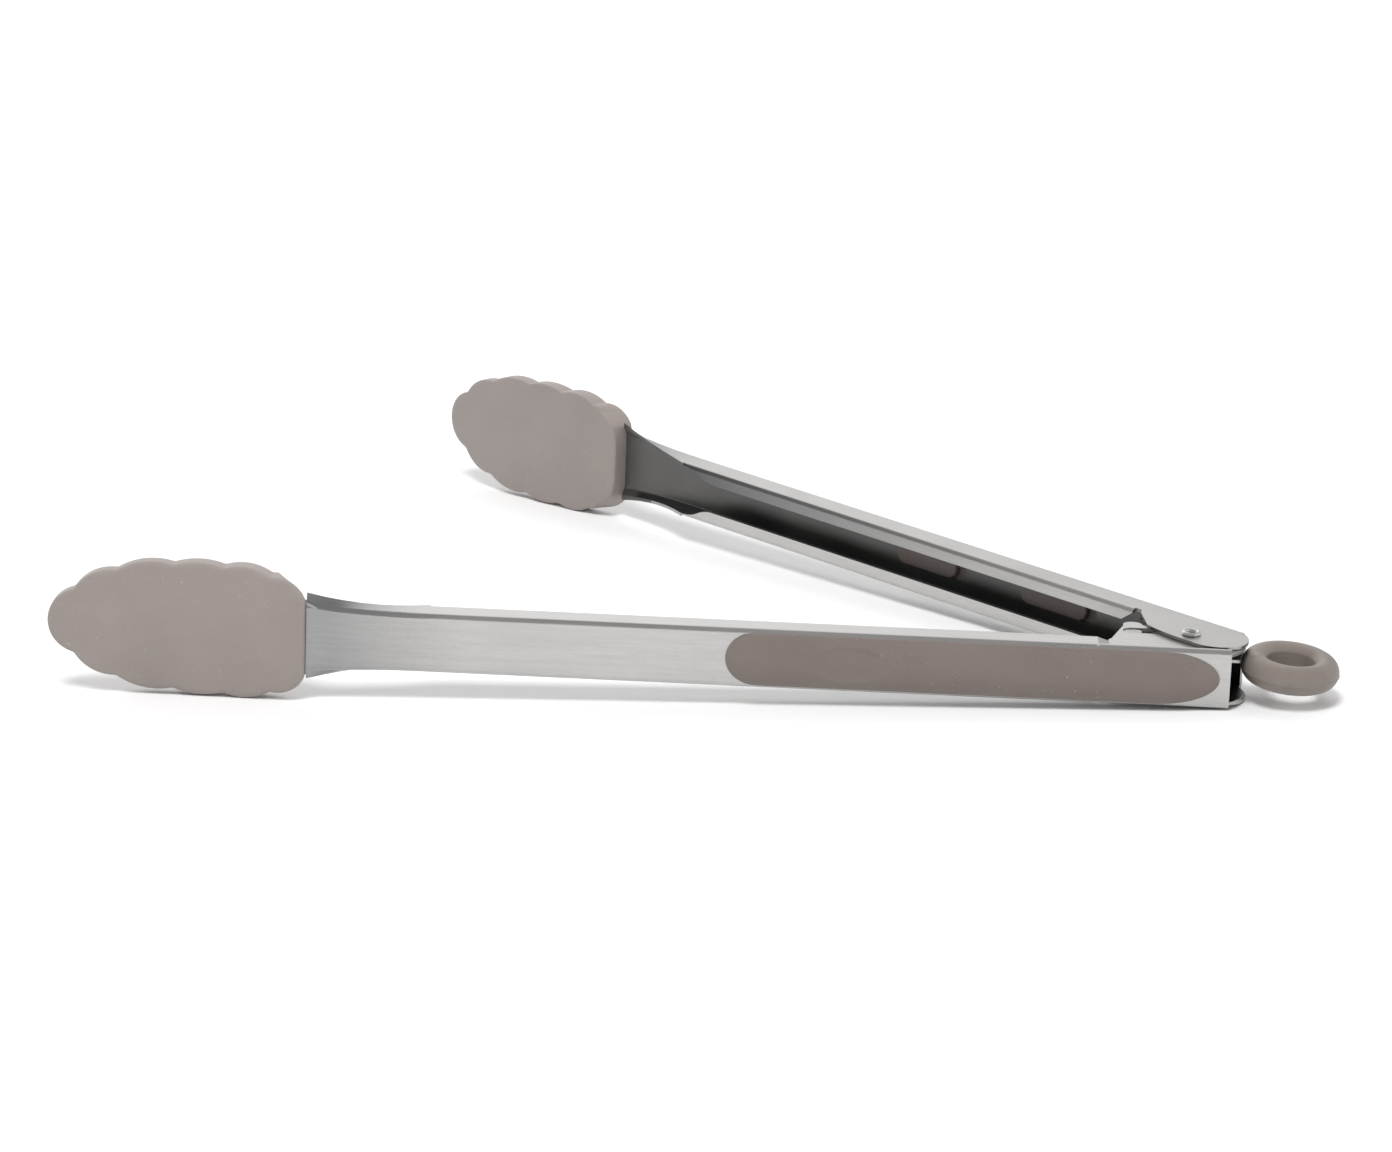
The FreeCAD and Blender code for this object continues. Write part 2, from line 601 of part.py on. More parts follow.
def head():
    """Silicone head moulded round the blade."""
    plan = Part.Face(head_outline()).extrude(V(0, -3 * BACK_DISTANCE, 0))
    body = plan.common(slab(head_side(), -3 * HALF, 3 * HALF))
    return solid_of(body.cut(blade(FIT_GAP / 2)).cut(neck()))


# ---------------------------------------------------------------- hinge
def hinge_rivet():
    reach = HALF + RIVET_HEAD_HEIGHT
    flange = RIVET_RADIUS + RIVET_HEAD_LIP
    top = V(0, 0, HALF + FIT_GAP / 5)
    heads = both_sides(Part.makeCone(flange, flange - RIVET_HEAD_SLOPE, RIVET_HEAD_HEIGHT, top, V(0, 0, 1)))
    shank = Part.makeCylinder(RIVET_RADIUS, 2 * (HALF + FIT_GAP), V(0, 0, -HALF - FIT_GAP), V(0, 0, 1))
    bore = Part.makeCylinder(RIVET_RADIUS - RIVET_WALL, 2 * reach + 2, V(0, 0, -reach - 1), V(0, 0, 1))
    return solid_of(fuse([shank] + heads).cut(bore))


def spring_bush():
    half = YOKE_INNER - SLIDE_GAP
    outer = Part.makeCylinder(BUSH_RADIUS, 2 * half, V(0, 0, -half), V(0, 0, 1))
    return outer.cut(rivet_hole())


def spring_leg(z):
    """Straight leg on the front arm's side, from the coil's tangent to the back of the arm."""
    bearing_v = BACK_INNER - WIRE / 2 - FIT_GAP
    distance = math.hypot(SPRING_LEG_REACH, bearing_v)
    toward = math.atan2(bearing_v, SPRING_LEG_REACH)
    tangent = toward + math.acos(SPRING_MEAN_RADIUS / distance)
    start = at(SPRING_MEAN_RADIUS * math.cos(tangent), SPRING_MEAN_RADIUS * math.sin(tangent), z)
    end = at(SPRING_LEG_REACH, bearing_v, z)
    leg = Part.makeCylinder(WIRE / 2, (end - start).Length, start, end - start)
    return leg.fuse(Part.makeSphere(WIRE / 2, end))


def torsion_spring():
    """Outer shape of the coil as a tube round the bush, with its two legs."""
    half = SPRING_HALF
    tube = Part.makeCylinder(SPRING_MEAN_RADIUS + COIL_WALL, 2 * half, V(0, 0, -half), V(0, 0, 1))
    hole = Part.makeCylinder(SPRING_MEAN_RADIUS - COIL_WALL, 4 * half, V(0, 0, -2 * half), V(0, 0, 1))
    legs = [spring_leg(-SPRING_LEG_Z), rear(spring_leg(SPRING_LEG_Z))]
    return solid_of(fuse([tube] + legs).cut(hole))


# ---------------------------------------------------------------- lock
def yoke_rail():
    """Rail on the +Z side: long slot over the rivet, guide lug and nose."""
    y = YOKE_HALF_HEIGHT
    top = CROSSBAR_Y + YOKE_SHEET
    low = -SLOT_CENTRE - SLOT_HEIGHT / 2 - NOSE_MARGIN
    nose = YOKE_STEP + YOKE_SLOPE
    outline = [
        V(YOKE_BACK, -y, 0), V(YOKE_BACK, y, 0), V(-YOKE_STEP, y, 0), V(-nose, top, 0),
        V(-YOKE_NOSE, top, 0), V(-YOKE_NOSE, low, 0), V(-nose, low, 0), V(-YOKE_STEP, -y, 0),
    ]
    rail = slab(polyline(outline + outline[:1]), YOKE_INNER, YOKE_OUTER)
    r = RIVET_RADIUS + SLIDE_GAP
    run = [box(-LOCK_TRAVEL, 0, -r, r, YOKE_INNER - 1, YOKE_OUTER + 1)]
    for x in (0, -LOCK_TRAVEL):
        run.append(Part.makeCylinder(r, YOKE_SHEET + 2, V(x, 0, YOKE_INNER - 1)))
    return rail.cut(fuse(run)).fuse(guide_lug())


def guide_lug():
    """Raised lug that rides in the front ear's slot."""
    r = SLOT_HEIGHT / 2 - SLIDE_GAP
    far = SLOT_OUTER - SLIDE_GAP
    near = far - LUG_LENGTH
    height = EAR_OUTER - LUG_SETBACK - YOKE_OUTER
    y = -SLOT_CENTRE
    pieces = [box(-far + r, -near - r, y - r, y + r, YOKE_OUTER, YOKE_OUTER + height)]
    for u in (far - r, near + r):
        pieces.append(Part.makeCylinder(r, height, V(-u, y, YOKE_OUTER)))
    return fuse(pieces)


def tongue(grown=0.0):
    """The yoke's tongue inside the ring, grown on every side for the ring's pocket."""
    width = TONGUE_HALF_WIDTH + grown
    half = YOKE_SHEET / 2 + grown
    start = YOKE_BACK - YOKE_SHEET
    return box(start, YOKE_BACK + TONGUE_LENGTH + grown, -width, width, TONGUE_Z - half, TONGUE_Z + half)


def lock_yoke():
    """Stirrup that straddles the spring: two rails, a crossbar, a back plate and the ring's tongue."""
    y = YOKE_HALF_HEIGHT
    wide = YOKE_OUTER
    crossbar = box(-YOKE_NOSE, CROSSBAR - YOKE_NOSE, CROSSBAR_Y, CROSSBAR_Y + YOKE_SHEET, -wide, wide)
    plate = box(YOKE_BACK - YOKE_SHEET, YOKE_BACK, -y, y, -wide, wide)
    return solid_of(fuse(both_sides(yoke_rail()) + [crossbar, plate, tongue()]))


def pull_ring():
    """Plastic ring moulded on the yoke's tongue, with a straight land round its hole."""
    half = RING_SECTION_HEIGHT / 2
    inner = RING_HOLE_RADIUS - RING_LAND_DEPTH
    section = Part.Ellipse(V(0, 0, 0), half, (RING_OUTER_RADIUS - inner) / 2).toShape()
    section.rotate(V(0, 0, 0), V(1, 0, 0), 90)
    section.rotate(V(0, 0, 0), V(0, 1, 0), 90)
    section.translate(V((RING_OUTER_RADIUS + inner) / 2, 0, 0))
    ring = Part.Face(Part.Wire([section])).revolve(V(0, 0, 0), V(0, 0, 1), 360)
    ring = ring.cut(Part.makeCylinder(RING_HOLE_RADIUS, 4 * half, V(0, 0, -2 * half), V(0, 0, 1)))
    ring.rotate(V(0, 0, 0), V(1, 0, 0), RING_ROLL)
    ring.rotate(V(0, 0, 0), V(0, 1, 0), RING_PITCH)
    ring.translate(V(*RING_CENTRE))
    return solid_of(ring.cut(tongue(FIT_GAP / 2)))


# ---------------------------------------------------------------- write the nodes
def main():
    nodes = {
        "front_arm": front_arm(),
        "rear_arm": rear(rear_arm()),
        "front_grip": grip(),
        "rear_grip": rear(grip()),
        "front_head": head(),
        "rear_head": rear(head()),
        "hinge_rivet": hinge_rivet(),
        "spring_bush": spring_bush(),
        "torsion_spring": torsion_spring(),
        "lock_yoke": lock_yoke(),
        "pull_ring": pull_ring(),
    }
    os.makedirs("parts", exist_ok=True)
    for name, shape in nodes.items():
        assert shape.isValid(), name
        shape.exportStep("parts/%s.step" % name)
        size = shape.BoundBox
        sides = "%.1f %.1f %.1f" % (size.XLength, size.YLength, size.ZLength)
        print("%-15s volume %9.1f  box %s" % (name, shape.Volume, sides))


main()
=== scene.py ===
"""Looks for the spring loaded kitchen tongs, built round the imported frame.

Pieces on an arm are made in arm coordinates, in millimetres: u runs from the rivet towards the head, v from
the hinge plane out to the back of the arm, and z along the rivet. on_arm() puts them in the row's frame.
"""

import math

import bmesh
import bpy
import numpy as np
from mathutils import Matrix, Vector


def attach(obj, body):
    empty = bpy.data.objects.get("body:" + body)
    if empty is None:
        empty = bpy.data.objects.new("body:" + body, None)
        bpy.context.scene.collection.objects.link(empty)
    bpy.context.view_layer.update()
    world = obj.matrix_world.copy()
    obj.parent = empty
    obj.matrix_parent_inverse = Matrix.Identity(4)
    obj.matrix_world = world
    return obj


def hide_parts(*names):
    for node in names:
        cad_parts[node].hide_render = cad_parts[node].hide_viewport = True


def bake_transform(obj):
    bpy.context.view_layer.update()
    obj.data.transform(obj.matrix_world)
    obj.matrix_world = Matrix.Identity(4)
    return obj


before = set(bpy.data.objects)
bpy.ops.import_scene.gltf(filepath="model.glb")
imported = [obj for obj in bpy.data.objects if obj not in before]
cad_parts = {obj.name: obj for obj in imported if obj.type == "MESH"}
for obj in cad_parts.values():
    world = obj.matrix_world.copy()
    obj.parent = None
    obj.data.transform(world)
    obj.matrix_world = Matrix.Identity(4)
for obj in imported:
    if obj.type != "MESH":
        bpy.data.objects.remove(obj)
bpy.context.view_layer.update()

MM = 0.001
OPEN_ANGLE = math.radians(44.5)              # between the arms at rest
ARMS = {                                     # how far each is turned, and the direction that its back faces
    "front": (0.0, (0.0, -1.0, 0.0)),
    "rear": (OPEN_ANGLE, (math.sin(OPEN_ANGLE), math.cos(OPEN_ANGLE), 0.0)),
}

# ------------------------------------------------------------ sizes, in millimetres
BACK = 13.6                  # rivet axis to the back of an arm
OUTLINE_POINTS = 560         # round the edge of a head or a pad

HEAD_BASE = 239.1
HEAD_END = 310.0
HEAD_NOTCHES = [(239.1, 10.8), (248.7, 16.2), (261.6, 17.6), (275.6, 17.4), (291.2, 14.9), (302.8, 9.0)]
HEAD_PEAKS = [(242.9, 15.2), (255.5, 18.5), (268.7, 18.7), (283.2, 17.9), (298.3, 13.4)]
HEAD_OUTER = [(239.1, 15.5), (270.0, 11.2), (311.0, 8.2)]     # (u, v) along the outer face
HEAD_INNER = [(239.1, 7.8), (277.0, 4.3), (311.0, 3.4)]      # and along the inner one
HEAD_SPINE = (256.0, 291.0)                  # the line that both faces shrink towards
HEAD_ROUND_OUTER = 1.25
HEAD_ROUND_INNER = 0.7
HEAD_SIDE_DROP = (0.9, 18.0)                 # how far the outer face falls, at this distance from its middle
NOTCH_SOFTENING = 1.2                        # in points of the outline
BASE_BOW = 2.4               # how far the inner face's corners stand back from the head's base
BASE_BOW_START = 4.0                         # distance from the middle line where that begins
BASE_BOW_WIDTH = 9.0                         # and over which it grows
BASE_BOW_FADE = (9.0, 6.0)                   # where along the head it ends, and over what length

PAD_ENDS = (-7.4, 125.6)
PAD_ROUNDS = (17.0, 8.5)
PAD_HALF = 7.35
PAD_EDGE = 0.9
PAD_EDGE_ROUND = 0.45
PAD_CROWN = 2.6
PAD_FULLNESS = 0.8                           # under 1 the crown rises steeply at the edge
DIMPLE = (92.0, 11.0, 4.9, 0.9)              # u of its middle, half length, half width, depth
PLUGS = [(48.9, 74.2), (99.2, 123.1)]
PLUG_HALF = 3.3
PLUG_FACE = 11.9
PLUG_ROOT = BACK + 0.3                       # sunk into the pad
PLUG_EDGE = [(0, 0.5), (0.06, 0.25), (0.2, 0.08), (0.45, 0.0), (1.6, 0.12)]     # (inset, height over face)

RING_CENTRE = (27.0, -3.0, 0.9)
RING_MEAN = 9.6
RING_HALF_WIDTH = 3.8
RING_HALF_HEIGHT = 4.0
RING_HOLE = 6.3
RING_HOLE_FLARE = 0.03                       # how the hole opens with the height squared
RING_ROLL = 3.0                              # degrees about X
RING_PITCH = 3.5                             # and then about Y
# Parting line, the groove under it and a line in the hole: (outside, height, width, how far it stands out)
RING_SEAMS = [(True, -0.45, 0.16, 0.16), (True, -0.95, 0.25, -0.09), (False, 0.9, 0.12, -0.05)]
RING_NUB = ((-9.8, -3.6, 3.9), 0.9, 0.25)    # moulding nub: place, radius, height

RIVET_HOLE = 1.2
RIVET_SHANK = 2.0
RIVET_HEAD = 2.65
RIVET_EAR = 8.25                             # from the middle to the outer face of an ear
RIVET_CROWN = 9.27                           # and to the top of the rolled end
RIVET_ROLL = (1.95, 0.7, 0.75)               # radius of the crown, then the roll's width and its depth

COIL_RADIUS = 3.9
WIRE_RADIUS = 0.7
COIL_LEVEL = 3.095
COIL_TURNS = 4
LEG_REACH = 28.0
LEG_DEPTH = 11.9
WIRE_END = (0.25, 0.75)                      # the last ring: how far out and how wide, in radii


# ------------------------------------------------------------ placing and meshing
def on_arm(arm, points):
    """Arm coordinates in millimetres to the row's frame in metres."""
    u, v, z = np.asarray(points, float).reshape(-1, 3).T
    if arm == "front":
        return np.stack([-u, -v, z], 1) * MM
    c, s = math.cos(OPEN_ANGLE), math.sin(OPEN_ANGLE)
    return np.stack([-u * c + v * s, u * s + v * c, z], 1) * MM


def make_object(name, vertices, faces, smooth=True):
    mesh = bpy.data.meshes.new(name)
    mesh.from_pydata([tuple(p) for p in vertices], [], faces)
    shape = bmesh.new()
    shape.from_mesh(mesh)
    bmesh.ops.remove_doubles(shape, verts=shape.verts, dist=2e-6)
    bmesh.ops.dissolve_degenerate(shape, dist=1e-6, edges=shape.edges)
    bmesh.ops.recalc_face_normals(shape, faces=shape.faces)
    shape.to_mesh(mesh)
    shape.free()
    for face in mesh.polygons:
        face.use_smooth = smooth
    made = bpy.data.objects.new(name, mesh)
    bpy.context.scene.collection.objects.link(made)
    return made


def lofted(rings, close_start=True, close_end=True):
    """Vertices and faces of a skin over closed rings that all have as many points."""
    count = len(rings[0])
    vertices = np.concatenate(rings)
    faces = []
    for k in range(len(rings) - 1):
        a, b = k * count, (k + 1) * count
        for i in range(count):
            j = (i + 1) % count
            faces.append((a + i, a + j, b + j, b + i))
    if close_start:
        faces.append(tuple(range(count)))
    if close_end:
        last = (len(rings) - 1) * count
        faces.append(tuple(last + i for i in reversed(range(count))))
    return vertices, faces


def joined(parts):
    """One set of vertices and faces from several."""
    vertices, faces, base = [], [], 0
    for points, polygons in parts:
        vertices.append(points)
        faces += [tuple(base + i for i in polygon) for polygon in polygons]
        base += len(points)
    return np.concatenate(vertices), faces


def arc_points(start, middle, end, count):
    """Points along the circle through three points in a plane, the last one left out."""
    (ax, ay), (bx, by), (cx, cy) = start, middle, end
    d = 2 * (ax * (by - cy) + bx * (cy - ay) + cx * (ay - by))
    a2, b2, c2 = ax * ax + ay * ay, bx * bx + by * by, cx * cx + cy * cy
    ox = (a2 * (by - cy) + b2 * (cy - ay) + c2 * (ay - by)) / d
    oy = (a2 * (cx - bx) + b2 * (ax - cx) + c2 * (bx - ax)) / d
    radius = math.hypot(ax - ox, ay - oy)
    t0, t1, t2 = (math.atan2(y - oy, x - ox) for x, y in (start, middle, end))
    sweep = (t2 - t0) % (2 * math.pi)
    if (t1 - t0) % (2 * math.pi) > sweep:
        sweep -= 2 * math.pi
    turns = t0 + sweep * np.arange(count) / count
    return np.stack([ox + radius * np.cos(turns), oy + radius * np.sin(turns)], 1)


def evenly(points, count):
    """A closed line through the points, as count points the same distance apart."""
    closed = np.vstack([points, points[:1]])
    run = np.concatenate([[0], np.cumsum(np.linalg.norm(np.diff(closed, axis=0), axis=1))])
    where = np.linspace(0, run[-1], count, endpoint=False)
    return np.stack([np.interp(where, run, closed[:, k]) for k in (0, 1)], 1)


def softened(points, spread):
    """A closed line with its corners rounded over about spread points."""
    reach = int(spread * 4)
    weights = np.exp(-0.5 * (np.arange(-reach, reach + 1) / spread) ** 2)
    weights /= weights.sum()
    return sum(w * np.roll(points, k, axis=0) for w, k in zip(weights, range(-reach, reach + 1)))


def inward(points):
    """Unit normals of a closed plane line, pointing into it."""
    along = np.roll(points, -1, axis=0) - np.roll(points, 1, axis=0)
    normal = np.stack([-along[:, 1], along[:, 0]], 1)
    normal /= np.linalg.norm(normal, axis=1)[:, None]
    if np.einsum("ij,ij->i", normal, points.mean(0) - points).mean() < 0:
        normal = -normal
    return normal


# ------------------------------------------------------------ silicone heads
def head_outline():
    line = []
    for k, peak in enumerate(HEAD_PEAKS):
        line.append(arc_points(HEAD_NOTCHES[k], peak, HEAD_NOTCHES[k + 1], 40))
    last = HEAD_NOTCHES[-1]
    line.append(arc_points(last, (HEAD_END, 0.0), (last[0], -last[1]), 60))
    for k in reversed(range(len(HEAD_PEAKS))):
        ends = [(p[0], -p[1]) for p in (HEAD_NOTCHES[k + 1], HEAD_PEAKS[k], HEAD_NOTCHES[k])]
        line.append(arc_points(*ends, 40))
    line = np.concatenate(line + [np.array([[HEAD_BASE, -HEAD_NOTCHES[0][1]]])])
    return softened(evenly(line, OUTLINE_POINTS), NOTCH_SOFTENING)


def head_mesh():
    """Rings from the middle of the outer face, over its rounded edge and the side wall, to the inner face."""
    outline = head_outline()
    normal = inward(outline)
    outer = np.polyfit(*np.array(HEAD_OUTER).T, 2)
    inner = np.polyfit(*np.array(HEAD_INNER).T, 2)
    drop, half_width = HEAD_SIDE_DROP
    over, under = HEAD_ROUND_OUTER, HEAD_ROUND_INNER

    def ring(inset, share, depth, face):
        """The outline moved in by inset, shrunk to share of its size, depth below that face."""
        edge = outline + normal * inset
        if face == "inner":
            reach, fade = BASE_BOW_FADE
            bow = BASE_BOW * np.clip((np.abs(edge[:, 1]) - BASE_BOW_START) / BASE_BOW_WIDTH, 0, 1.2) ** 2
            edge[:, 0] += bow * np.clip((HEAD_BASE + reach - edge[:, 0]) / fade, 0, 1)
        core = np.stack([np.clip(edge[:, 0], *HEAD_SPINE), np.zeros(len(edge))], 1)
        flat = core + (edge - core) * share
        u, z = flat.T
        if face == "outer":
            v = np.polyval(outer, u) - drop * (z / half_width) ** 2 - depth
        else:
            v = np.polyval(inner, u) + depth
        return np.stack([u, v, z], 1)

    shares = (0.0, 0.3, 0.6, 0.82, 0.94)
    rings = [ring(over, share, 0.0, "outer") for share in shares]
    for k in range(9):
        turn = math.pi / 2 * k / 8
        rings.append(ring(over * (1 - math.sin(turn)), 1.0, over * (1 - math.cos(turn)), "outer"))
    for k in range(6):
        turn = math.pi / 2 * k / 5
        rings.append(ring(under * (1 - math.cos(turn)), 1.0, under * (1 - math.sin(turn)), "inner"))
    rings += [ring(under, share, 0.0, "inner") for share in reversed(shares)]
    return lofted(rings, False, False)


# ------------------------------------------------------------ grip pads
def pad_outline():
    """A pad's outline with half ellipses at its ends, and the two middles of those."""
    near, far = PAD_ENDS
    near_middle, far_middle = near + PAD_ROUNDS[0], far - PAD_ROUNDS[1]
    turns = np.linspace(-math.pi / 2, math.pi / 2, 70)
    far_end = np.stack([far_middle + PAD_ROUNDS[1] * np.cos(turns), PAD_HALF * np.sin(turns)], 1)
    near_end = np.stack([near_middle - PAD_ROUNDS[0] * np.cos(turns), -PAD_HALF * np.sin(turns)], 1)
    return evenly(np.concatenate([far_end, near_end]), OUTLINE_POINTS), (near_middle, far_middle)


def pad_mesh():
    """Crowned pad: flat underside, thin rounded edge, and a top that rises to its middle line."""
    outline, spine = pad_outline()
    normal = inward(outline)
    rounding = PAD_EDGE_ROUND

    def ring(inset, share, height):
        edge = outline + normal * inset
        core = np.stack([np.clip(edge[:, 0], *spine), np.zeros(len(edge))], 1)
        u, z = (core + (edge - core) * share).T
        return np.stack([u, np.full(len(u), BACK + height), z], 1)

    under = [ring(0, share, 0.0) for share in (0.0, 0.5, 1.0)]
    side = [ring(0, 1.0, PAD_EDGE - rounding)]
    for k in range(1, 5):
        turn = math.pi / 2 * k / 4
        side.append(ring(rounding * (1 - math.cos(turn)), 1.0, PAD_EDGE - rounding * (1 - math.sin(turn))))
    top = []
    middle, half_length, half_width, depth = DIMPLE
    for share in np.linspace(0.97, 0.0, 22):
        rise = (PAD_CROWN - PAD_EDGE) * (1 - share ** 2) ** PAD_FULLNESS
        crowned = ring(rounding, share, PAD_EDGE + rise)
        off_middle = ((crowned[:, 0] - middle) / half_length) ** 2 + (crowned[:, 2] / half_width) ** 2
        crowned[:, 1] -= depth * np.clip(1 - off_middle ** 2, 0, 1)
        top.append(crowned)
    return lofted(under + side + top, False, False)


def plug_mesh(u0, u1):
    """Round-ended plug that stands a little proud of the inside of the arm."""
    turns = np.linspace(-math.pi / 2, math.pi / 2, 24)
    right = np.stack([u1 - PLUG_HALF + PLUG_HALF * np.cos(turns), PLUG_HALF * np.sin(turns)], 1)
    left = np.stack([u0 + PLUG_HALF - PLUG_HALF * np.cos(turns), -PLUG_HALF * np.sin(turns)], 1)
    outline = np.concatenate([right, left])
    normal = inward(outline)
    rings = []
    for inset, v in [(0, PLUG_ROOT)] + [(inset, PLUG_FACE + height) for inset, height in PLUG_EDGE]:
        flat = outline + normal * inset
        rings.append(np.stack([flat[:, 0], np.full(len(flat), v), flat[:, 1]], 1))
    return lofted(rings)


# ------------------------------------------------------------ ring, rivet and spring
def revolved(profile, count):
    """A closed (r, h) profile turned about Z."""
    turns = np.linspace(0, 2 * math.pi, count, endpoint=False)
    r, h = profile.T
    rings = [np.stack([r * math.cos(turn), r * math.sin(turn), h], 1) for turn in turns]
    vertices, faces = lofted(rings, False, False)
    n, last = len(profile), (count - 1) * len(profile)
    faces += [(last + i, last + (i + 1) % n, (i + 1) % n, i) for i in range(n)]
    return vertices, faces


def ring_object():
    """The pull ring: an oval section with its hole cut straight, a parting line, and a moulding nub."""
    turns = np.linspace(0, 2 * math.pi, 120, endpoint=False)
    r = RING_MEAN + RING_HALF_WIDTH * np.cos(turns)
    h = RING_HALF_HEIGHT * np.sin(turns)
    r = np.maximum(r, RING_HOLE + RING_HOLE_FLARE * h ** 2)
    for outside, height, width, amount in RING_SEAMS:
        here = (np.cos(turns) > 0) == outside
        r = r + np.where(here, amount * np.exp(-((h - height) / width) ** 2), 0.0)
    vertices, faces = revolved(np.stack([r, h], 1), 180)
    spot, spread, rise = RING_NUB
    away = np.linalg.norm(vertices - np.array(spot), axis=1)
    vertices[:, 2] += rise * np.exp(-(away / spread) ** 2)
    roll = Matrix.Rotation(math.radians(RING_ROLL), 3, "X")
    turned = Matrix.Rotation(math.radians(RING_PITCH), 3, "Y") @ roll
    placed = vertices @ np.array(turned).T + np.array(RING_CENTRE)
    return make_object("ring_moulding", placed * MM, faces)


def rivet_object():
    """Tubular rivet whose two ends are rolled over."""
    middle, width, depth = RIVET_ROLL
    skirt = RIVET_EAR + 0.3                  # where the head's side turns into the roll
    end = [(RIVET_SHANK, RIVET_EAR), (RIVET_HEAD - 0.12, RIVET_EAR + 0.02), (RIVET_HEAD, RIVET_EAR + 0.16)]
    for k in range(1, 8):
        turn = math.pi / 2 * k / 8
        end.append((middle + width * math.cos(turn), skirt + (RIVET_CROWN - skirt) * math.sin(turn)))
    for k in range(7):
        turn = math.pi / 2 * k / 6
        end.append((middle - width * math.sin(turn), RIVET_CROWN - depth * (1 - math.cos(turn))))
    end.append((RIVET_HOLE + 0.02, RIVET_CROWN - 1.4))
    other_end = [(r, -h) for r, h in reversed(end)]
    vertices, faces = revolved(np.array(end + other_end), 72)
    return make_object("rivet_rolled", vertices * MM, faces)


def spring_path():
    """Centre line of the wire: lower leg on the front arm, coil, upper leg on the rear arm."""
    distance = math.hypot(LEG_REACH, LEG_DEPTH)
    tangent = math.atan2(LEG_DEPTH, LEG_REACH) + math.acos(COIL_RADIUS / distance)
    first = math.pi + tangent - 2 * math.pi
    last = -first - OPEN_ANGLE
    sweep = last - first + COIL_TURNS * 2 * math.pi
    share = np.linspace(0, 1, 300)
    angle = first + sweep * share
    coil = np.stack([COIL_RADIUS * np.cos(angle), COIL_RADIUS * np.sin(angle),
                     -COIL_LEVEL + 2 * COIL_LEVEL * share], 1) * MM
    front_end = on_arm("front", [(LEG_REACH, LEG_DEPTH, -COIL_LEVEL)])
    rear_end = on_arm("rear", [(LEG_REACH, LEG_DEPTH, COIL_LEVEL)])

    def leg(start, end):
        return start + (end - start) * np.linspace(0, 1, 24)[:, None]

    return np.concatenate([leg(front_end, coil[:1])[:-1], coil, leg(coil[-1:], rear_end)[1:]])


def tube(path, radius, sides=14):
    """A round wire along a path, with slightly rounded ends."""
    along = np.gradient(path, axis=0)
    along /= np.linalg.norm(along, axis=1)[:, None]
    side = np.cross(along, (0.0, 0.0, 1.0))
    side /= np.linalg.norm(side, axis=1)[:, None]
    other = np.cross(side, along)
    turns = np.linspace(0, 2 * math.pi, sides, endpoint=False)
    across, upward = np.cos(turns)[:, None], np.sin(turns)[:, None]
    rings = [path[k] + radius * (across * side[k] + upward * other[k]) for k in range(len(path))]
    out, width = WIRE_END
    start = path[0] - along[0] * radius * out + width * (rings[0] - path[0])
    end = path[-1] + along[-1] * radius * out + width * (rings[-1] - path[-1])
    return lofted([start] + rings + [end])


# ------------------------------------------------------------ node trees
RANGE_SOCKETS = ("From Min", "From Max", "To Min", "To Max")
NOISE_RANGE = (0.3, 0.7)                     # where most of a noise's values lie


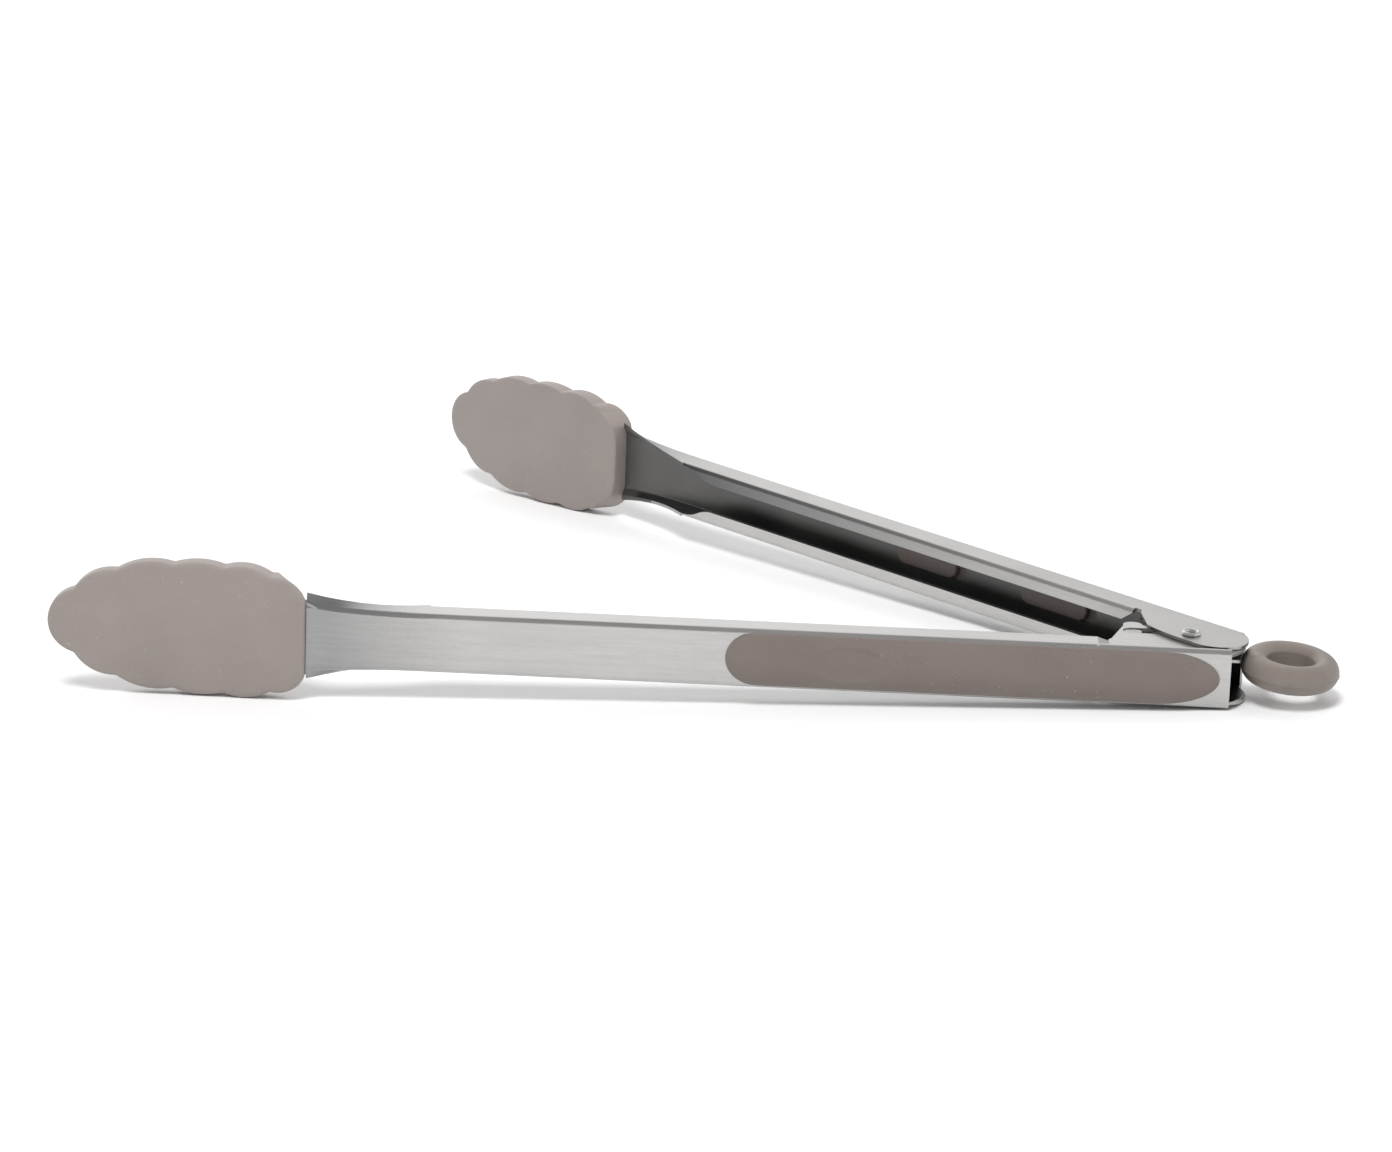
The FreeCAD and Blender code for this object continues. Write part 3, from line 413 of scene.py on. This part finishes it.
class NodeTree:
    """A node tree, with short calls to add nodes."""

    def __init__(self, tree):
        self.tree = tree

    def add(self, kind, **settings):
        node = self.tree.nodes.new(kind)
        for key, value in settings.items():
            setattr(node, key, value)
        return node

    def link(self, a, b):
        self.tree.links.new(a, b)

    def coords(self, turn_z=0.0, stretch=(1, 1, 1)):
        """Object coordinates, turned so that X runs along the arm and then stretched."""
        where = self.add("ShaderNodeTexCoord")
        turned = self.add("ShaderNodeMapping")
        turned.inputs["Rotation"].default_value[2] = turn_z
        self.link(where.outputs["Object"], turned.inputs["Vector"])
        scaled = self.add("ShaderNodeMapping")
        scaled.inputs["Scale"].default_value = stretch
        self.link(turned.outputs[0], scaled.inputs["Vector"])
        return scaled.outputs[0]

    def noise(self, vector, scale, detail=2.0, roughness=0.5):
        node = self.add("ShaderNodeTexNoise")
        node.inputs["Scale"].default_value = scale
        node.inputs["Detail"].default_value = detail
        node.inputs["Roughness"].default_value = roughness
        self.link(vector, node.inputs["Vector"])
        return node.outputs["Fac"]

    def ranged(self, value, low, high, new_low, new_high, **settings):
        node = self.add("ShaderNodeMapRange", **settings)
        for socket, number in zip(RANGE_SOCKETS, (low, high, new_low, new_high)):
            node.inputs[socket].default_value = number
        self.link(value, node.inputs["Value"])
        return node.outputs[0]

    def spread(self, noise, low, high):
        """A noise's usual range stretched to run from low to high."""
        return self.ranged(noise, *NOISE_RANGE, low, high)

    def math(self, operation, a, b=None):
        node = self.add("ShaderNodeMath", operation=operation)
        for socket, value in zip(node.inputs, (a, b)):
            if value is None:
                continue
            if isinstance(value, (int, float)):
                socket.default_value = value
            else:
                self.link(value, socket)
        return node.outputs[0]

    def mixed(self, share, a, b):
        """Colour mix; a and b are colours or sockets."""
        node = self.add("ShaderNodeMix", data_type="RGBA")
        if isinstance(share, (int, float)):
            node.inputs["Factor"].default_value = share
        else:
            self.link(share, node.inputs["Factor"])
        colours = [s for s in node.inputs if s.type == "RGBA"]
        for socket, value in zip(colours, (a, b)):
            if isinstance(value, tuple):
                socket.default_value = value + (1.0,)
            else:
                self.link(value, socket)
        return [s for s in node.outputs if s.type == "RGBA"][0]

    def multiplied(self, a, b):
        """Product of two colour sockets."""
        node = self.add("ShaderNodeMix", data_type="RGBA", blend_type="MULTIPLY")
        node.inputs["Factor"].default_value = 1.0
        for socket, value in zip([s for s in node.inputs if s.type == "RGBA"], (a, b)):
            self.link(value, socket)
        return [s for s in node.outputs if s.type == "RGBA"][0]

    def dot(self, vector, direction):
        node = self.add("ShaderNodeVectorMath", operation="DOT_PRODUCT")
        self.link(vector, node.inputs[0])
        node.inputs[1].default_value = direction
        return node.outputs["Value"]

    def turned(self, kind, start, end, vector):
        """A vector or a normal from one space to another."""
        node = self.add("ShaderNodeVectorTransform", vector_type=kind, convert_from=start, convert_to=end)
        self.link(vector, node.inputs[0])
        return node.outputs[0]

    def bump(self, height, strength, distance, normal=None):
        """Normal with the height's relief, over another normal if one is given."""
        node = self.add("ShaderNodeBump")
        node.inputs["Strength"].default_value = strength
        node.inputs["Distance"].default_value = distance
        self.link(height, node.inputs["Height"])
        if normal is not None:
            self.link(normal, node.inputs["Normal"])
        return node.outputs[0]

    def bevel(self, radius):
        node = self.add("ShaderNodeBevel", samples=6)
        node.inputs["Radius"].default_value = radius
        return node.outputs[0]


class Nodes(NodeTree):
    """A new material with one Principled shader."""

    def __init__(self, name):
        self.material = bpy.data.materials.new(name)
        self.material.use_nodes = True
        super().__init__(self.material.node_tree)
        self.tree.nodes.clear()
        self.shader = self.add("ShaderNodeBsdfPrincipled")
        self.link(self.shader.outputs[0], self.add("ShaderNodeOutputMaterial").inputs["Surface"])

    def set(self, **values):
        """Shader inputs by name: a number, a colour or a socket."""
        for key, value in values.items():
            socket = self.shader.inputs[key.replace("_", " ")]
            if isinstance(value, (int, float)):
                socket.default_value = value
            elif isinstance(value, tuple):
                socket.default_value = value + (1.0,)
            else:
                self.link(value, socket)


# ------------------------------------------------------------ materials
def shade(red, green, blue):
    """Linear colour from a display colour of 0 to 255 a channel."""
    return tuple(((c / 255.0 + 0.055) / 1.055) ** 2.4 for c in (red, green, blue))


STEEL_OUTSIDE = ((0.43, 0.422, 0.413), (0.56, 0.552, 0.541))    # where the brushing is dark and light
STEEL_INSIDE_PAINTED_SHADE = ((0.115, 0.113, 0.111), (0.165, 0.162, 0.159))   # the hollow side, painted dark as shade, since little light reaches inside the channel
FLANGE_INSIDE_PAINTED_SHADE = (0.30, 0.297, 0.293)                            # painted shade on the flanges' inner faces, mixed half and half with the inside
LIP_DEPTH = 0.009            # metres from the hinge plane: what faces in beyond it is the inside of the back
# Painted shade along the arm: the reach from and to, in metres, and the colour factors there.
NECK_PAINTED_SHADE = (0.195, 0.232, (1.0, 1.0, 1.0), (0.66, 0.665, 0.68))
UPPER_LIP_PAINTED_SHADE = (0.05, 0.20, (0.92, 0.92, 0.92), (0.26, 0.26, 0.27))
HINGE_PAINTED_SHADE = (0.012, 0.026, (0.22, 0.22, 0.22), (1.0, 1.0, 1.0))


def brushed_steel(name, grain_angle, outwards):
    """Sheet brushed along the arm, with painted shade inside the channel, towards the neck, on the upper lip
    and near the hinge; outwards is the direction that its back faces.
    """
    m = Nodes(name)
    fine = m.noise(m.coords(grain_angle, (1.0, 34.0, 34.0)), 330.0, 4.0, 0.62)
    broad = m.noise(m.coords(grain_angle, (1.0, 16.0, 16.0)), 42.0, 3.0, 0.55)
    cloud = m.noise(m.coords(grain_angle), 38.0, 3.0, 0.5)
    grain = m.math("ADD", m.math("MULTIPLY", fine, 0.6), m.math("MULTIPLY", broad, 0.4))
    outside = m.mixed(m.spread(grain, 0.0, 1.0), *STEEL_OUTSIDE)
    # painted shade: the channel's inside gets a much darker colour than the outside
    inside = m.mixed(m.spread(cloud, 0.0, 1.0), *STEEL_INSIDE_PAINTED_SHADE)

    # where on the arm this point is, and which way its surface faces
    place = m.add("ShaderNodeTexCoord").outputs["Object"]
    reach = m.dot(place, (-math.cos(grain_angle), math.sin(grain_angle), 0.0))
    depth = m.dot(place, outwards)
    height = m.dot(place, (0.0, 0.0, 1.0))
    normal = m.turned("NORMAL", "WORLD", "OBJECT", m.add("ShaderNodeNewGeometry").outputs["True Normal"])
    facing_in = m.math("LESS_THAN", m.dot(normal, outwards), -0.5)
    inner_back = m.math("MULTIPLY", facing_in, m.math("GREATER_THAN", depth, LIP_DEPTH))
    lip = m.math("MULTIPLY", facing_in, m.math("LESS_THAN", depth, LIP_DEPTH))
    upper_lip = m.math("MULTIPLY", lip, m.math("GREATER_THAN", height, 0.0))
    away_from_middle = m.math("MULTIPLY", m.dot(normal, (0.0, 0.0, 1.0)), m.math("SIGN", height))
    inner_flange = m.math("LESS_THAN", away_from_middle, -0.5)

    # painted shade: a colour darkened by a factor that ramps along the arm
    def painted_shade_along(colour, start, end, near, far):
        return m.multiplied(colour, m.mixed(m.ranged(reach, start, end, 0.0, 1.0), near, far))

    # painted shade: darker towards the neck, darker along the upper lip, and darker inside near the hinge
    outside = painted_shade_along(outside, *NECK_PAINTED_SHADE)
    outside = m.mixed(upper_lip, outside, painted_shade_along(outside, *UPPER_LIP_PAINTED_SHADE))
    colour = m.mixed(inner_back, outside, painted_shade_along(inside, *HINGE_PAINTED_SHADE))
    colour = m.mixed(inner_flange, colour, painted_shade_along(m.mixed(0.5, inside, FLANGE_INSIDE_PAINTED_SHADE), *HINGE_PAINTED_SHADE))

    rough = m.math("ADD", m.spread(grain, 0.24, 0.38), m.spread(cloud, -0.03, 0.05))
    rough = m.math("ADD", rough, m.math("MULTIPLY", inner_back, 0.16))
    along = m.add("ShaderNodeCombineXYZ")
    along.inputs[0].default_value = -math.cos(grain_angle)
    along.inputs[1].default_value = math.sin(grain_angle)
    m.set(Base_Color=colour, Metallic=1.0, Roughness=rough, Anisotropic=0.55,
          Normal=m.bump(fine, 0.10, 0.00003, m.bevel(0.00016)),
          Tangent=m.turned("VECTOR", "OBJECT", "WORLD", along.outputs[0]))
    return m.material


DUST = (0.62, 0.60, 0.58)


def plain_metal(name, dark, light, rough_low, rough_high):
    """Small metal parts: soft cloudy tone, fine scratches."""
    m = Nodes(name)
    cloud = m.noise(m.coords(), 260.0, 3.0)
    fine = m.noise(m.coords(), 1500.0, 4.0, 0.65)
    m.set(Base_Color=m.mixed(m.spread(cloud, 0.0, 1.0), dark, light), Metallic=1.0,
          Roughness=m.spread(fine, rough_low, rough_high),
          Normal=m.bump(fine, 0.08, 0.00002, m.bevel(0.00012)))
    return m.material


def rubber(name, dark, light, rough=(0.5, 0.62)):
    """Matt moulded silicone: fine grain, faint mottling and a few pale specks of dust."""
    m = Nodes(name)
    mottle = m.noise(m.coords(), 70.0, 3.0)
    grain = m.noise(m.coords(), 2600.0, 2.0, 0.6)
    dust = m.noise(m.coords(), 1500.0, 1.0, 0.4)
    tone = m.math("ADD", m.math("MULTIPLY", mottle, 0.5), m.math("MULTIPLY", grain, 0.5))
    body = m.mixed(m.ranged(tone, 0.32, 0.68, 0.0, 1.0), dark, light)
    m.set(Base_Color=m.mixed(m.ranged(dust, 0.74, 0.80, 0.0, 0.35), body, DUST),
          Roughness=m.spread(mottle, *rough), Normal=m.bump(grain, 0.12, 0.00004),
          Sheen_Weight=0.15, Sheen_Roughness=0.5, Specular_IOR_Level=0.4)
    return m.material


def moulded_plastic(name, dark, light):
    """Satin plastic: faint mottling under a fine moulded grain."""
    m = Nodes(name)
    mottle = m.noise(m.coords(), 120.0, 3.0)
    grain = m.noise(m.coords(), 3200.0, 2.0, 0.5)
    m.set(Base_Color=m.mixed(m.spread(mottle, 0.0, 1.0), dark, light),
          Roughness=m.spread(grain, 0.36, 0.5), Normal=m.bump(grain, 0.08, 0.00003),
          Specular_IOR_Level=0.45)
    return m.material


# ------------------------------------------------------------ pieces
def paint(piece, material):
    piece.data.materials.clear()
    piece.data.materials.append(material)


def dress_node(node, material):
    """A carried-over CAD node gets its material in its own slots."""
    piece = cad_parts[node]
    if not piece.material_slots:
        piece.data.materials.append(material)
    for held in piece.material_slots:
        held.material = material


def build_pieces():
    silicone = rubber("silicone_matt", shade(141, 132, 128), shade(151, 142, 138))
    soft = rubber("grip_soft", shade(113, 103, 98), shade(122, 112, 107), rough=(0.45, 0.58))
    plastic = moulded_plastic("ring_satin", shade(118, 109, 103), shade(128, 119, 113))
    polished = plain_metal("rivet_polished", (0.50, 0.50, 0.50), (0.62, 0.62, 0.61), 0.14, 0.24)
    wire = plain_metal("wire_drawn", (0.20, 0.20, 0.20), (0.34, 0.335, 0.33), 0.3, 0.45)
    pressed = plain_metal("yoke_pressed", (0.40, 0.40, 0.395), (0.56, 0.555, 0.55), 0.25, 0.4)
    nylon = moulded_plastic("bush_nylon", (0.045, 0.045, 0.045), (0.07, 0.07, 0.07))

    def dress_made(piece, material, body, node):
        """A piece made here rides a body in the place of a CAD node."""
        paint(piece, material)
        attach(piece, body)
        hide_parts(node)

    head_vertices, head_faces = head_mesh()
    grip_vertices, grip_faces = joined([pad_mesh()] + [plug_mesh(*ends) for ends in PLUGS])
    for arm, (turn, outwards) in ARMS.items():
        head = make_object(arm + "_head_moulded", on_arm(arm, head_vertices), head_faces)
        dress_made(head, silicone, arm, arm + "_head")
        grip = make_object(arm + "_grip_moulded", on_arm(arm, grip_vertices), grip_faces)
        dress_made(grip, soft, arm, arm + "_grip")
        dress_node(arm + "_arm", brushed_steel("steel_brushed_" + arm, turn, outwards))
    dress_made(rivet_object(), polished, "front", "hinge_rivet")
    dress_made(ring_object(), plastic, "lock", "pull_ring")

    spring = make_object("spring_wound", *tube(spring_path(), WIRE_RADIUS * MM))
    paint(spring, wire)
    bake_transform(spring)
    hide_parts("torsion_spring")

    dress_node("lock_yoke", pressed)
    dress_node("spring_bush", nylon)


# ------------------------------------------------------------ floor, light and camera
FLOOR = (-0.00935, 0.0367, -0.0150)          # height at the rivet and its slopes along X and Y
FLOOR_REACH = 8.0

# Strength of the studio by direction: the tongs' upper faces reflect what is behind them.
STUDIO_ROUND = 0.48
STUDIO_RIGHT = (0.30, 0.75, 0.92)            # X from, X to, and the strength it grows to
STUDIO_BEHIND = (0.3, 0.8, 0.88)             # Y from, Y to, and the strength that is added
STUDIO_BEHIND_ENDS = (-0.10, 0.34)           # X from and to where that fades away

LAMPS = [                                    # name, place, target, size, power
    ("key", (-0.6, -1.3, 2.9), (-0.13, 0.05, 0.0), (1.1, 1.1), 72.0),
    ("backdrop", (-0.1, 1.3, 1.5), (-0.1, 1.2, 0.0), (1.8, 0.8), 8.0),
]


def build_floor():
    """Plain pale floor that the heads and the hinge end stand on."""
    m = Nodes("floor_pale")
    m.set(Base_Color=m.mixed(m.noise(m.coords(), 3.0), (0.90, 0.90, 0.90), (0.92, 0.92, 0.92)), Roughness=0.9,
          Specular_IOR_Level=0.1)
    height, along_x, along_y = FLOOR
    corners = [(FLOOR_REACH * x, FLOOR_REACH * y, height + FLOOR_REACH * (along_x * x + along_y * y))
               for x, y in ((-1, -1), (1, -1), (1, 1), (-1, 1))]
    floor = make_object("floor", corners, [(0, 1, 2, 3)], False)
    paint(floor, m.material)


def build_lamp(name, place, target, size, power):
    light = bpy.data.lights.new(name, "AREA")
    light.shape = "RECTANGLE"
    light.size, light.size_y = size
    light.energy = power
    lamp = bpy.data.objects.new(name, light)
    lamp.location = place
    lamp.rotation_mode = "QUATERNION"
    lamp.rotation_quaternion = (Vector(target) - Vector(place)).to_track_quat("-Z", "Y")
    lamp.visible_glossy = False              # the steel reflects the studio, not the lamps
    bpy.context.scene.collection.objects.link(lamp)


def build_studio():
    """A dim world that is brighter behind the tongs and to the right, with its lamps."""
    world = bpy.data.worlds.new("studio")
    bpy.context.scene.world = world
    world.use_nodes = True
    t = NodeTree(world.node_tree)
    direction = t.add("ShaderNodeSeparateXYZ")
    t.link(t.add("ShaderNodeTexCoord").outputs["Generated"], direction.inputs[0])

    def level(axis, start, end, near, far):
        return t.ranged(direction.outputs[axis], start, end, near, far, interpolation_type="SMOOTHSTEP")

    y_from, y_to, added = STUDIO_BEHIND
    x_from, x_to, right = STUDIO_RIGHT
    across = level("X", *STUDIO_BEHIND_ENDS, 1.0, 0.0)
    behind = t.math("MULTIPLY", across, level("Y", y_from, y_to, 0.0, added))
    back = t.tree.nodes["Background"]
    back.inputs["Color"].default_value = (1, 1, 1, 1)
    t.link(t.math("ADD", behind, level("X", x_from, x_to, STUDIO_ROUND, right)), back.inputs["Strength"])
    for lamp in LAMPS:
        build_lamp(*lamp)


CAMERA_ELEVATION = math.radians(16.957)
CAMERA_AZIMUTH = math.radians(2.106)
CAMERA_ROLL = math.radians(-0.105)
TABLE_TILT = math.radians(2.19)              # the tongs lie with their heads a little higher than the hinge
CAMERA_DISTANCE = 1.4107
CAMERA_AIM = Vector((-0.13386, 0.0, 0.023507))
CAMERA_LENS = 134.70                         # millimetres, on the sensor's width
SENSOR_WIDTH = 36.0


def build_camera():
    """The camera fitted to the photo, turned with the table about Y."""
    e, a = CAMERA_ELEVATION, CAMERA_AZIMUTH
    back = Vector((math.sin(a) * math.cos(e), -math.cos(a) * math.cos(e), math.sin(e)))
    right = (-back).cross(Vector((0, 0, 1))).normalized()
    up = right.cross(-back)
    c, s = math.cos(CAMERA_ROLL), math.sin(CAMERA_ROLL)
    right, up = c * right + s * up, -s * right + c * up
    place = CAMERA_AIM + back * CAMERA_DISTANCE
    untilt = Matrix.Rotation(-TABLE_TILT, 3, "Y")
    turn = Matrix([right, up, back]).transposed()
    data = bpy.data.cameras.new("camera")
    data.lens = CAMERA_LENS
    data.sensor_width = SENSOR_WIDTH
    data.clip_start, data.clip_end = 0.05, 50.0      # metres
    camera = bpy.data.objects.new("camera", data)
    bpy.context.scene.collection.objects.link(camera)
    camera.matrix_world = Matrix.Translation(untilt @ place) @ (untilt @ turn).to_4x4()
    bpy.context.scene.camera = camera


build_pieces()
build_floor()
build_studio()
build_camera()
bpy.context.scene.view_settings.view_transform = "Standard"
